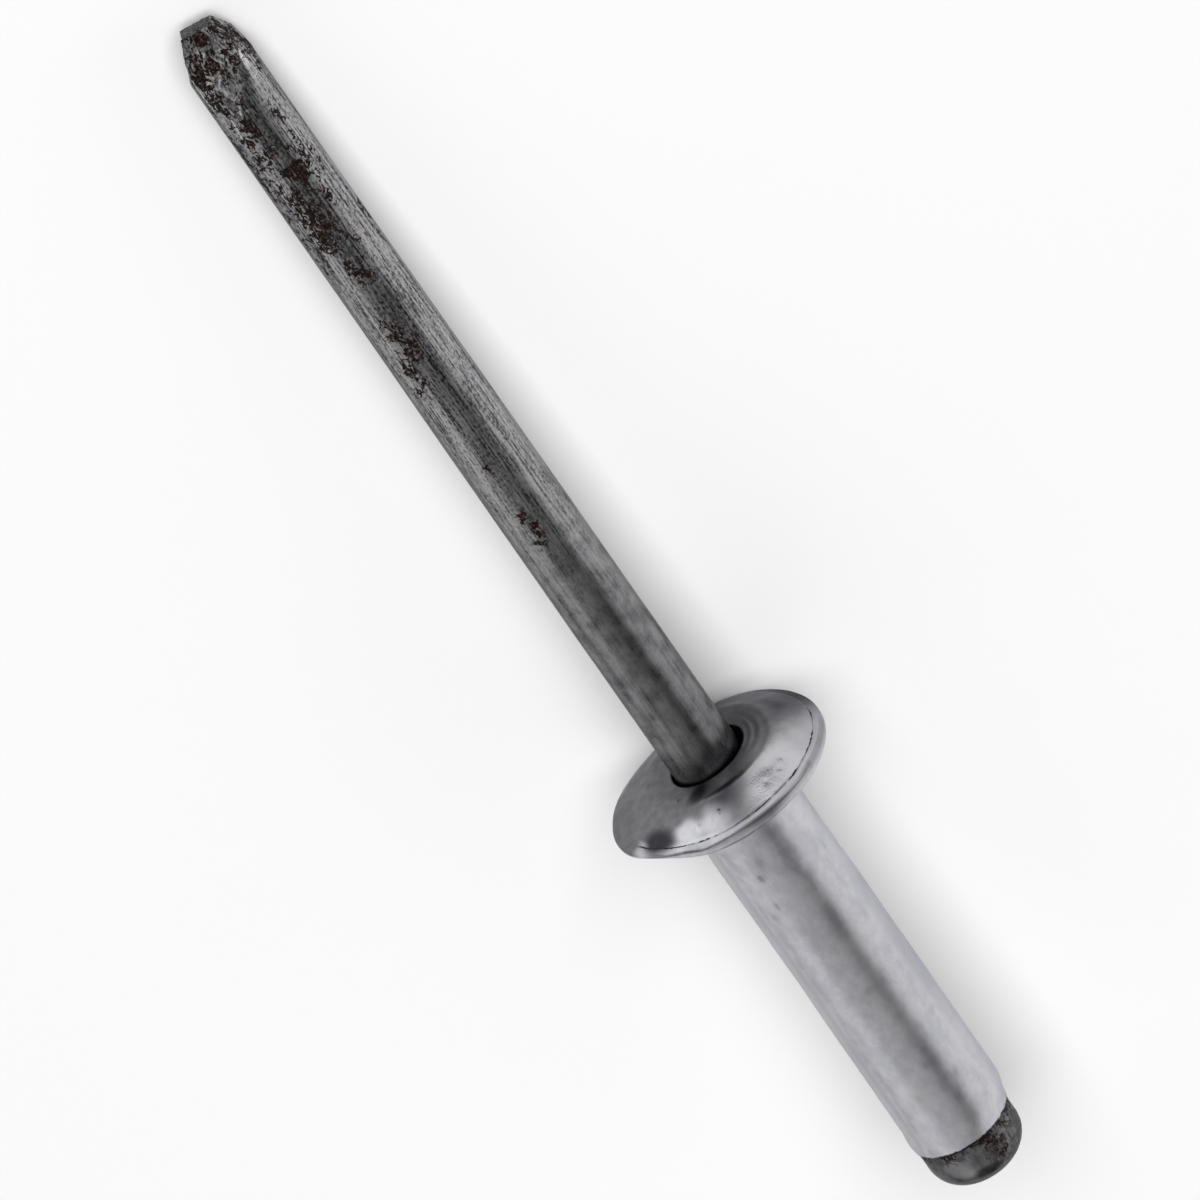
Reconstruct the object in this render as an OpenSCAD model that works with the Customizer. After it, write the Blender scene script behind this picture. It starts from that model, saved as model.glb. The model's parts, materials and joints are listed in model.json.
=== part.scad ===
// Open-end blind rivet with a domed flange, before it is set: an aluminium
// sleeve on a steel pulling mandrel. It lies on its side as it comes to rest,
// on the flange's rim and on the mandrel where the pinched tip begins.
// The origin is on the rivet's axis, in the plane of the flange's seating face.

/* [Sleeve] */
// Outside diameter of the sleeve that goes through the sheets
body_d = 3.1; // [2.8:0.05:3.4]
// Length of the sleeve, from the seating face to the blind end
body_len = 12.6; // [6:0.2:20]
// Gap between the mandrel and the bore, on the radius
bore_gap = 0.08; // [0.03:0.01:0.14]
// Rounding of the sleeve's outer edge at the blind end
end_round = 0.16; // [0.05:0.01:0.2]
// Fillet between the sleeve and the seating face
seat_fillet = 0.06; // [0.03:0.01:0.15]

/* [Flange] */
// Outside diameter of the flange
flange_d = 6.52; // [5.6:0.02:7.4]
// Height of the flange's crown above the seating face
flange_h = 1.04; // [0.9:0.02:1.4]
// Height of the lip round the flange's rim
lip_h = 0.48; // [0.3:0.02:0.6]
// Rounding of the lip's two edges
lip_round = 0.19; // [0.08:0.01:0.22]
// How far the dome's foot lies below the top of the lip
crease_drop = 0.05; // [0.02:0.01:0.1]
// Diameter of the flat crown round the hole
crown_d = 3.7; // [2.7:0.05:3.8]
// Rounding of the hole's mouth in the crown
mouth_round = 0.09; // [0.03:0.01:0.12]

/* [Mandrel] */
// Diameter of the mandrel's shaft
mandrel_d = 2; // [1.7:0.02:2.1]
// Length of the mandrel from the seating face to its tip
mandrel_len = 28.4; // [24:0.2:40]
// Diameter of the neck at which the mandrel breaks
neck_d = 1.5; // [1.2:0.05:1.6]
// Width of the neck's groove along the shaft
neck_w = 0.6; // [0.3:0.05:1]
// Distance from the blind end to the middle of the neck
neck_depth = 1.4; // [0.8:0.1:3]

/* [Pinched tip] */
// Width of the tip's end face
tip_w = 1.03; // [0.6:0.01:1.3]
// Thickness of the tip's end face
tip_t = 0.6; // [0.3:0.01:0.9]
// Length of the two broad facets, along the shaft
facet_len = 2; // [1.2:0.05:3]
// Length of the two narrow facets, along the shaft
side_facet_len = 1.25; // [0.8:0.05:2]

/* [Mandrel head] */
// Diameter of the mandrel's head
head_d = 2.76; // [2.6:0.02:2.78]
// Length of the head's straight side
head_side = 0.75; // [0.2:0.05:1.2]
// Radius of the head's rounded end
head_round = 1.12; // [0.6:0.01:1.28]

/* [Hidden] */
$fn = 128;

body_r = body_d / 2;
mandrel_r = mandrel_d / 2;
bore_r = mandrel_r + bore_gap;
flange_r = flange_d / 2;
crown_r = crown_d / 2;
head_r = head_d / 2;
neck_r = neck_d / 2;

// Centre of the lip's upper rounding, in the section.
lip_round_r = flange_r - lip_round;
lip_round_z = lip_h - lip_round;

// The dome is an arc that is level at the crown's edge and falls to its foot
// just inside the lip's top.
dome_foot_z = lip_h - crease_drop;
dome_run = lip_round_r - crown_r;
dome_drop = flange_h - dome_foot_z;
dome_round = (dome_run * dome_run + dome_drop * dome_drop) / (2 * dome_drop);

// The floor is tangent to the lip's upper rounding, and touches the shaft's
// lowest line where the lower broad facet starts.
rest_run = mandrel_len - facet_len - lip_round_z;
rest_fall = lip_round_r - mandrel_r;
rest_tilt = atan2(rest_fall, rest_run)
    + asin(lip_round / norm([rest_run, rest_fall]));

// Square corner less a quarter circle, which rounds or fills a corner of a
// section. The corner is at the origin and the piece lies towards +X and +Y.
module corner(radius) {
    difference() {
        square(radius);
        translate([radius, radius]) circle(radius);
    }
}

// Half of the flange's section, right of the bore: lip, dome and flat crown.
module flange_section() {
    // lip, with its two edges rounded
    translate([bore_r, 0]) square([lip_round_r - bore_r, lip_h - crease_drop]);
    translate([lip_round_r, lip_round]) circle(lip_round);
    translate([lip_round_r, lip_round_z]) circle(lip_round);
    translate([lip_round_r, lip_round])
        square([lip_round, lip_round_z - lip_round]);
    // dome between the crown and the lip
    intersection() {
        translate([crown_r, flange_h - dome_round]) circle(dome_round);
        translate([crown_r, 0]) square([dome_run, flange_h]);
    }
    // flat crown
    translate([bore_r, 0]) square([crown_r - bore_r, flange_h]);
}

// Half of the sleeve and flange's section, right of the axis.
module body_section() {
    difference() {
        union() {
            translate([bore_r, -body_len])
                square([body_r - bore_r, body_len + lip_round]);
            translate([body_r, 0]) mirror([0, 1]) corner(seat_fillet);
            flange_section();
        }
        // rounded mouth of the hole
        translate([bore_r, flange_h]) mirror([0, 1]) corner(mouth_round);
        // rounded outer edge of the blind end
        translate([body_r, -body_len]) mirror([1, 0]) corner(end_round);
    }
}

// Aluminium sleeve with its flange, cold-formed as one piece.
module rivet_body() {
    color([0.77, 0.77, 0.79])
        rotate_extrude() body_section();
}

// Half of the mandrel's section, right of the axis, before its tip is pinched.
module mandrel_section() {
    seat_z = -body_len;
    neck_z = seat_z + neck_depth;
    shoulder_z = seat_z - head_side;
    // shaft, from the head to the breaking neck and from there to the tip
    translate([0, seat_z])
        square([mandrel_r, neck_depth - neck_w / 2]);
    polygon([
        [0, neck_z - neck_w / 2],
        [mandrel_r, neck_z - neck_w / 2],
        [neck_r, neck_z],
        [mandrel_r, neck_z + neck_w / 2],
        [0, neck_z + neck_w / 2]
    ]);
    translate([0, neck_z + neck_w / 2])
        square([mandrel_r, mandrel_len - neck_z - neck_w / 2]);
    // straight side of the head, and its rounded end
    translate([0, shoulder_z]) square([head_r, head_side]);
    translate([0, shoulder_z - head_round])
        square([head_r - head_round, head_round]);
    intersection() {
        translate([head_r - head_round, shoulder_z]) circle(head_round);
        translate([head_r - head_round, shoulder_z - head_round])
            square(head_round);
    }
}

// Block that cuts one facet of the tip. Its face passes through the edge of the
// end face at half_size from the axis, and leaves the shaft after the length.
module facet_cut(half_size, length) {
    slope = atan2(mandrel_r - half_size, length);
    translate([half_size, 0, mandrel_len])
        rotate([0, -slope, 0])
            translate([0, -mandrel_d, -2 * length])
                cube([mandrel_d, 2 * mandrel_d, 4 * length]);
}

// Steel mandrel: head, breaking neck, shaft and pinched tip, all one wire.
module mandrel() {
    color([0.42, 0.42, 0.43])
        difference() {
            rotate_extrude() mandrel_section();
            for (side = [0, 180]) {
                rotate([0, 0, side]) facet_cut(tip_t / 2, facet_len);
                rotate([0, 0, side + 90]) facet_cut(tip_w / 2, side_facet_len);
            }
        }
}

// Turns an upright piece to where the rivet comes to rest, with its tip towards
// -X and lowest.
module at_rest() {
    rotate([0, -90 - rest_tilt, 0]) children();
}

at_rest() rivet_body();
at_rest() mandrel();
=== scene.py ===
"""Looks of an unset open-end blind rivet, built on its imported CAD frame.

The rivet is two pieces: an aluminium sleeve with its domed flange, and the steel
mandrel that runs through it. Blender's unit is the metre. The pieces' own sizes
are in millimetres, in the rivet's own axes: up, side and along to the tip, with
0 at the flange's seat. Turns about the rivet are in degrees, from up to side.
"""

import itertools
import json
import logging
import math
from dataclasses import dataclass, field, replace
from enum import Enum, IntEnum

import bpy
import numpy as np
from mathutils import Matrix, Vector


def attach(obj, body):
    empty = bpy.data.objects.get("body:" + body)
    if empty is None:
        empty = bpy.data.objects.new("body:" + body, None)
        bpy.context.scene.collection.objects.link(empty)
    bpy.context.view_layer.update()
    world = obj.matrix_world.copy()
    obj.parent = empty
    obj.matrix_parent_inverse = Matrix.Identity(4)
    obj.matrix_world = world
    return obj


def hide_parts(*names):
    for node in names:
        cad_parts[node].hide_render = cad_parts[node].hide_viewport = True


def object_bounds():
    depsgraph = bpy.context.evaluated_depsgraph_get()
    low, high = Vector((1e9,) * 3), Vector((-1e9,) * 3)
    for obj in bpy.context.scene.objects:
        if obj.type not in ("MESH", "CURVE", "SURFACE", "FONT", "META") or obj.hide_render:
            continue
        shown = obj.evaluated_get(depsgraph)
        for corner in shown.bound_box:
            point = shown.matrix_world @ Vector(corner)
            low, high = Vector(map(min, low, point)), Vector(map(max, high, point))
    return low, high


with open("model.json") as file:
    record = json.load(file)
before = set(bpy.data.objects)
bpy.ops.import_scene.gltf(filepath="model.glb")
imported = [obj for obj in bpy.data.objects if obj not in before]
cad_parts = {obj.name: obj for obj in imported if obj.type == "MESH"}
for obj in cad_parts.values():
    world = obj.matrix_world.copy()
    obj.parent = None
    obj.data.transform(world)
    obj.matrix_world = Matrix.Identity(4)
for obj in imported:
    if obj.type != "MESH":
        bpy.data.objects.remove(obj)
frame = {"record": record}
CAD_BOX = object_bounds()

MM = 0.001
LOG = logging.getLogger("blind_rivet")

Colour = tuple[float, float, float]
Socket = bpy.types.NodeSocket
Feed = Socket | float | Colour


# --------------------------------------------------------------------------
# Axes and small maths
# --------------------------------------------------------------------------


@dataclass(frozen=True)
class RivetAxes:
    """The rivet's own axes as it lies at rest, from the seat of its flange."""

    up: np.ndarray
    side: np.ndarray
    tip: np.ndarray
    front: float = 12.0

    @classmethod
    def from_record(cls, record: dict) -> "RivetAxes":
        """Reads the axes from the shank's mount.

        Args:
            record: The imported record.

        Returns:
            The axes, with tip pointing along the mandrel.
        """
        shank = next(m for m in record["mounts"] if m["name"] == "shank")
        tip = -np.array(shank["axis"], float)
        tip /= np.linalg.norm(tip)
        side = np.array([0.0, 1.0, 0.0])
        return cls(up=np.cross(side, tip), side=side, tip=tip)

    def place(self, points_mm: np.ndarray) -> np.ndarray:
        """Turns points in the rivet's axes into the frame's.

        Args:
            points_mm: Points as (up, side, along), in millimetres.

        Returns:
            The same points in metres, in the frame.
        """
        return points_mm @ np.stack([self.up, self.side, self.tip]) * MM

    def tilt(self) -> float:
        """Returns the angle from the frame's X to the rivet's axis, in radians."""
        return math.atan2(-self.tip[2], -self.tip[0])


class Seed(IntEnum):
    """The seed of each thing that is uneven."""

    CREASE_DARKENING = 5
    BRIGHT_EDGE = 7
    DARK_EDGE = 8
    SMUDGES = 9
    WAVES = 11
    RIPPLES = 12
    FLANGE_TOP = 13
    CREASE_PITS = 15
    FACETS = 21
    FACET_GRAIN = 22
    PINCHED_RIM = 23
    END_FACE = 24
    SHAFT = 25
    RUST_PITS = 26
    HEAD_SEAM = 31
    END_EDGE = 32
    FLAKES = 33


def ease(x: np.ndarray, low: float, high: float) -> np.ndarray:
    """Rises smoothly from 0 at low to 1 at high.

    Args:
        x: Values.
        low: Where the rise begins.
        high: Where it ends, above or below low.

    Returns:
        The eased share, from 0 to 1.
    """
    t = np.clip((x - low) / (high - low), 0.0, 1.0)
    return t * t * (3.0 - 2.0 * t)


def bell(x: np.ndarray, middle: float, reach: float) -> np.ndarray:
    """Returns a smooth hump of height 1 at middle, mostly within reach."""
    return np.exp(-(((x - middle) / reach) ** 2))


def turn_gap(turn: np.ndarray, other: float) -> np.ndarray:
    """Returns the signed degrees from other to turn, within half a turn."""
    return (turn - other + 180.0) % 360.0 - 180.0


def lumps(points: np.ndarray, grain: float, seed: Seed) -> np.ndarray:
    """Smooth seeded noise, about as large as grain.

    Args:
        points: Points, in millimetres, with x, y and z last.
        grain: Size of a lump, in millimetres.
        seed: Seed of the noise.

    Returns:
        Values from -1 to 1.
    """
    size = 48
    table = np.random.default_rng(int(seed)).uniform(-1.0, 1.0, (size, size, size))
    scaled = points / grain
    low = np.floor(scaled).astype(int)
    part = scaled - low
    part = part * part * (3.0 - 2.0 * part)
    total = np.zeros(points.shape[:-1])
    for corner in itertools.product((0, 1), repeat=3):
        share = np.prod(np.where(np.array(corner) == 1, part, 1.0 - part), axis=-1)
        at = (low + np.array(corner)) % size
        total += share * table[at[..., 0], at[..., 1], at[..., 2]]
    return total


# --------------------------------------------------------------------------
# Profiles and skins
# --------------------------------------------------------------------------


@dataclass
class Profile:
    """Half a section, as points (radius, along), in millimetres."""

    points: list[tuple[float, float]]

    def line(self, end: tuple[float, float], step: float) -> None:
        """Adds a straight run.

        Args:
            end: Where it ends, as (radius, along).
            step: Spacing of its points.
        """
        start = self.points[-1]
        count = max(1, round(math.dist(start, end) / step))
        for i in range(1, count + 1):
            t = i / count
            self.points.append(
                (start[0] + (end[0] - start[0]) * t, start[1] + (end[1] - start[1]) * t)
            )

    def arc(
        self,
        centre: tuple[float, float],
        radius: float,
        turns: tuple[float, float],
        step: float,
    ) -> None:
        """Adds an arc, with a point at each end.

        Args:
            centre: Its centre, as (radius, along).
            radius: Its radius.
            turns: Its first and last angle in degrees, from outwards to the tip.
            step: Spacing of its points.
        """
        first, last = map(math.radians, turns)
        count = max(2, round(abs(last - first) * radius / step))
        for i in range(count + 1):
            a = first + (last - first) * i / count
            point = (centre[0] + radius * math.cos(a), centre[1] + radius * math.sin(a))
            if math.dist(point, self.points[-1]) > 1e-6:
                self.points.append(point)


@dataclass
class Skin:
    """A mesh of rings round the rivet's axis, each point of which can move."""

    rings: np.ndarray
    segments: int
    closed: bool
    radius: np.ndarray = field(init=False)
    along: np.ndarray = field(init=False)
    phi: np.ndarray = field(init=False)
    outward: tuple[np.ndarray, np.ndarray] = field(init=False)

    def __post_init__(self) -> None:
        """Lays out the undeformed points and their outward directions."""
        self.radius = self.rings[:, :1] * np.ones((1, self.segments))
        self.along = self.rings[:, 1:] * np.ones((1, self.segments))
        step = 2.0 * math.pi / self.segments
        self.phi = np.ones((len(self.rings), 1)) * (np.arange(self.segments) * step)
        ends = (
            np.roll(self.rings, -1, 0) - np.roll(self.rings, 1, 0)
            if self.closed
            else np.gradient(self.rings, axis=0)
        )
        ends /= np.linalg.norm(ends, axis=1, keepdims=True) + 1e-12
        self.outward = (ends[:, 1:2], -ends[:, :1])

    @property
    def turn(self) -> np.ndarray:
        """Each point's turn, in degrees from up to side."""
        return np.degrees(self.phi)

    def points(self) -> np.ndarray:
        """Returns the points as (up, side, along), in millimetres."""
        up, side = self.radius * np.cos(self.phi), self.radius * np.sin(self.phi)
        return np.stack([up, side, self.along], axis=-1)

    def swell(self, height: np.ndarray) -> None:
        """Moves each point along its outward direction.

        Args:
            height: How far, in millimetres, for each point.
        """
        self.radius = self.radius + height * self.outward[0]
        self.along = self.along + height * self.outward[1]

    def mesh(
        self, name: str, axes: RivetAxes, shift: np.ndarray, sharp_degrees: float
    ) -> bpy.types.Object:
        """Makes the object.

        Args:
            name: Its name.
            axes: The rivet's axes.
            shift: A shift of each point as (up, side, along).
            sharp_degrees: Edges that turn by more than this stay sharp.

        Returns:
            The new object, linked to the scene.
        """
        local = self.points() + shift
        rings, n = local.shape[:2]
        spots = [tuple(p) for p in axes.place(local.reshape(-1, 3))]
        faces: list[tuple[int, ...]] = []
        last = rings if self.closed else rings - 1
        for i in range(last):
            a, b = i * n, ((i + 1) % rings) * n
            faces += [
                (a + j, b + j, b + (j + 1) % n, a + (j + 1) % n) for j in range(n)
            ]
        if not self.closed:
            for ring, flip in ((0, False), (rings - 1, True)):
                spots.append(tuple(axes.place(local[ring].mean(0)[None])[0]))
                hub = len(spots) - 1
                for j in range(n):
                    a, b = ring * n + j, ring * n + (j + 1) % n
                    faces.append((hub, b, a) if flip else (hub, a, b))
        mesh = bpy.data.meshes.new(name)
        mesh.from_pydata(spots, [], faces)
        mesh.polygons.foreach_set("use_smooth", [True] * len(mesh.polygons))
        mesh.set_sharp_from_angle(angle=math.radians(sharp_degrees))
        mesh.validate()
        mesh.update()
        body = bpy.data.objects.new(name, mesh)
        bpy.context.scene.collection.objects.link(body)
        return body

    def attach(self, body: bpy.types.Object, name: str, values: np.ndarray) -> None:
        """Stores a value at each point of the finished mesh, for its finish.

        Args:
            body: The object that mesh() made.
            name: Name of the layer.
            values: A value for each point of the skin.
        """
        flat = values.reshape(-1)
        if not self.closed:
            flat = np.concatenate([flat, [values[0].mean(), values[-1].mean()]])
        layer = body.data.attributes.new(name, "FLOAT", "POINT")
        layer.data.foreach_set("value", flat.astype(np.float32))


# --------------------------------------------------------------------------
# Finishes
# --------------------------------------------------------------------------


class Sum(Enum):
    """A way to work out one value from others."""

    ADD = "ADD"
    LESS = "SUBTRACT"
    TIMES = "MULTIPLY"
    SIZE = "ABSOLUTE"


class NodeBench:
    """A short hand for laying out one material's nodes."""

    def __init__(self, name: str, axes: RivetAxes) -> None:
        """Starts a material with its principled shader.

        Args:
            name: Name of the material.
            axes: The rivet's axes, which its grain follows.
        """
        self.material = bpy.data.materials.new(name)
        self.material.use_nodes = True
        self.tree = self.material.node_tree
        self.shader = self.tree.nodes["Principled BSDF"]
        place = self.node("ShaderNodeTexCoord")
        turn = self.node("ShaderNodeMapping")
        turn.inputs["Rotation"].default_value = (0.0, axes.tilt(), 0.0)
        self.link(place.outputs["Object"], turn.inputs["Vector"])
        self.turned = turn.outputs["Vector"]

    def node(self, kind: str) -> bpy.types.Node:
        """Returns a new node of that kind."""
        return self.tree.nodes.new(kind)

    def link(self, out: Socket, into: Socket) -> None:
        """Links two sockets."""
        self.tree.links.new(out, into)

    def feed(self, value: Feed, into: Socket) -> None:
        """Links a socket, or sets a plain value.

        Args:
            value: A socket, a number or a colour.
            into: The input that takes it.
        """
        if isinstance(value, Socket):
            self.link(value, into)
        else:
            into.default_value = (*value, 1.0) if isinstance(value, tuple) else value

    def noise(
        self,
        grain_mm: float,
        detail: float,
        stretch: float = 1.0,
        rough: float = 0.5,
        curl: float = 0.0,
    ) -> Socket:
        """Adds noise that may be drawn out along the rivet.

        Args:
            grain_mm: Size of its grain across the rivet.
            detail: How many finer layers it has.
            stretch: How much longer its grain is along the rivet.
            rough: Strength of the finer layers.
            curl: How far it is curled up.

        Returns:
            Its value, from 0 to 1.
        """
        scale = self.node("ShaderNodeMapping")
        across = 1.0 / (grain_mm * MM)
        scale.inputs["Scale"].default_value = (across / stretch, across, across)
        self.link(self.turned, scale.inputs["Vector"])
        cloud = self.node("ShaderNodeTexNoise")
        cloud.inputs["Scale"].default_value = 1.0
        cloud.inputs["Detail"].default_value = detail
        cloud.inputs["Roughness"].default_value = rough
        cloud.inputs["Distortion"].default_value = curl
        self.link(scale.outputs["Vector"], cloud.inputs["Vector"])
        return cloud.outputs["Fac"]

    def layer(self, name: str) -> Socket:
        """Returns a layer that the mesh carries."""
        layer = self.node("ShaderNodeAttribute")
        layer.attribute_name = name
        return layer.outputs["Fac"]

    def work_out(self, how: Sum, *values: Feed) -> Socket:
        """Works out one value from one or two others.

        Args:
            how: What is done with them.
            values: The values, in their order.

        Returns:
            The result.
        """
        joint = self.node("ShaderNodeMath")
        joint.operation = how.value
        for value, into in zip(values, joint.inputs):
            self.feed(value, into)
        return joint.outputs[0]

    def add(self, a: Feed, b: Feed) -> Socket:
        """Returns the sum of two values."""
        return self.work_out(Sum.ADD, a, b)

    def less(self, a: Feed, b: Feed) -> Socket:
        """Returns the first value less the second."""
        return self.work_out(Sum.LESS, a, b)

    def times(self, a: Feed, b: Feed) -> Socket:
        """Returns the product of two values."""
        return self.work_out(Sum.TIMES, a, b)

    def weigh(self, *parts: tuple[Socket, float]) -> Socket:
        """Adds up values, each times its weight.

        Args:
            parts: The values with their weights.

        Returns:
            The weighted sum.
        """
        total, *others = [self.times(value, weight) for value, weight in parts]
        for other in others:
            total = self.add(total, other)
        return total

    def span(
        self,
        value: Socket,
        source: tuple[float, float],
        target: tuple[float, float] = (0.0, 1.0),
    ) -> Socket:
        """Maps a value smoothly from one span to another.

        Args:
            value: The value.
            source: The span that it has.
            target: The span that it gets.

        Returns:
            The mapped value.
        """
        remap = self.node("ShaderNodeMapRange")
        remap.interpolation_type = "SMOOTHSTEP"
        self.link(value, remap.inputs["Value"])
        for name, number in zip(
            ("From Min", "From Max", "To Min", "To Max"), (*source, *target)
        ):
            remap.inputs[name].default_value = number
        return remap.outputs["Result"]

    def blend(self, share: Feed, low: Feed, high: Feed) -> Socket:
        """Mixes two colours.

        Args:
            share: Share of the second one.
            low: First colour.
            high: Second colour.

        Returns:
            The mixed colour.
        """
        mix = self.node("ShaderNodeMix")
        mix.data_type = "RGBA"
        self.feed(share, mix.inputs["Factor"])
        self.feed(low, mix.inputs[6])
        self.feed(high, mix.inputs[7])
        return mix.outputs[2]

    def dress(self, colour: Socket, metal: Feed, rough: Socket, edge: Colour) -> None:
        """Gives the shader its looks.

        Args:
            colour: Its colour.
            metal: Its metallic share.
            rough: Its roughness.
            edge: Its tint where it is seen edge on.
        """
        self.feed(colour, self.shader.inputs["Base Color"])
        self.feed(metal, self.shader.inputs["Metallic"])
        self.feed(rough, self.shader.inputs["Roughness"])
        self.feed(edge, self.shader.inputs["Specular Tint"])

    def relief(self, height: Socket, depth_mm: float) -> None:
        """Gives the shader a relief.

        Args:
            height: Height, from 0 to 1.
            depth_mm: What a height of 1 stands for.
        """
        bump = self.node("ShaderNodeBump")
        bump.inputs["Strength"].default_value = 1.0
        bump.inputs["Distance"].default_value = depth_mm * MM
        self.link(height, bump.inputs["Height"])
        self.link(bump.outputs["Normal"], self.shader.inputs["Normal"])


@dataclass(frozen=True)
class SatinAluminium:
    """Cold-formed aluminium, satin and lightly mottled, with smudges, painted dark
    reflection on the dome and the sleeve's edges, and painted shade in the hole's mouth.
    """

    bright: Colour = (0.715, 0.712, 0.745)
    dim: Colour = (0.575, 0.578, 0.625)
    # painted dark reflection on the dome, the lip and the sleeve's edges, and the colour
    # of the sleeve's smudges
    wear_and_painted_reflection: Colour = (0.138, 0.138, 0.139)
    # painted dark reflection on the flange and down the sleeve's front
    darkening_and_painted_reflection: Colour = (0.046, 0.046, 0.052)
    # painted shade in the hole's mouth, and darker in the crease, some dents and at the
    # rim
    painted_shade_and_darkening: Colour = (0.040, 0.040, 0.044)
    edge_tint: Colour = (0.62, 0.62, 0.65)
    roughness: tuple[float, float] = (0.35, 0.43)
    polished_off: float = 0.19
    uneven: float = 0.085
    scuff_depth: float = 2.5
    relief_mm: float = 0.008

    def material(self, axes: RivetAxes) -> bpy.types.Material:
        """Makes the material.

        Args:
            axes: The rivet's axes.

        Returns:
            The material.
        """
        bench = NodeBench("satin_aluminium", axes)
        cloud = bench.noise(1.1, 4.0, 1.5)
        mottle = bench.noise(0.32, 5.0, 1.4, 0.6)
        grain = bench.noise(0.06, 3.0)
        pores = bench.noise(0.11, 2.0)
        scuffs = bench.noise(0.16, 3.0, 2.4, 0.6, 1.5)
        tone = bench.weigh((cloud, 0.35), (mottle, 0.65))
        colour = bench.blend(bench.span(tone, (0.40, 0.60)), self.dim, self.bright)
        uneven = bench.span(mottle, (0.3, 0.7), (-self.uneven, self.uneven))
        # painted dark reflection, mottled and mixed with the sleeve's smudges
        wear_and_painted_light = bench.add(bench.layer("wear_and_painted_reflection"), uneven)
        colour = bench.blend(bench.span(wear_and_painted_light, (0.05, 1.20)), colour, self.wear_and_painted_reflection)
        # painted dark reflection
        colour = bench.blend(bench.layer("darkening_and_painted_reflection"), colour, self.darkening_and_painted_reflection)
        # painted shade in the hole's mouth, the darker crease, dents and rim, and pores
        shade_darkening_and_pores = bench.add(bench.layer("painted_shade_and_darkening"), bench.less(pores, 0.5))
        colour = bench.blend(bench.span(shade_darkening_and_pores, (0.35, 0.75)), colour, self.painted_shade_and_darkening)
        polished = bench.times(bench.layer("polish"), -self.polished_off)
        rough = bench.add(bench.span(tone, (0.35, 0.65), self.roughness), polished)
        bench.dress(colour, 1.0, rough, self.edge_tint)
        scuffed = bench.times(scuffs, self.scuff_depth)
        scuffed = bench.times(scuffed, bench.layer("scuff"))
        height = bench.add(bench.weigh((mottle, 0.7), (grain, 0.3)), scuffed)
        bench.relief(height, self.relief_mm)
        return bench.material


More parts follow.
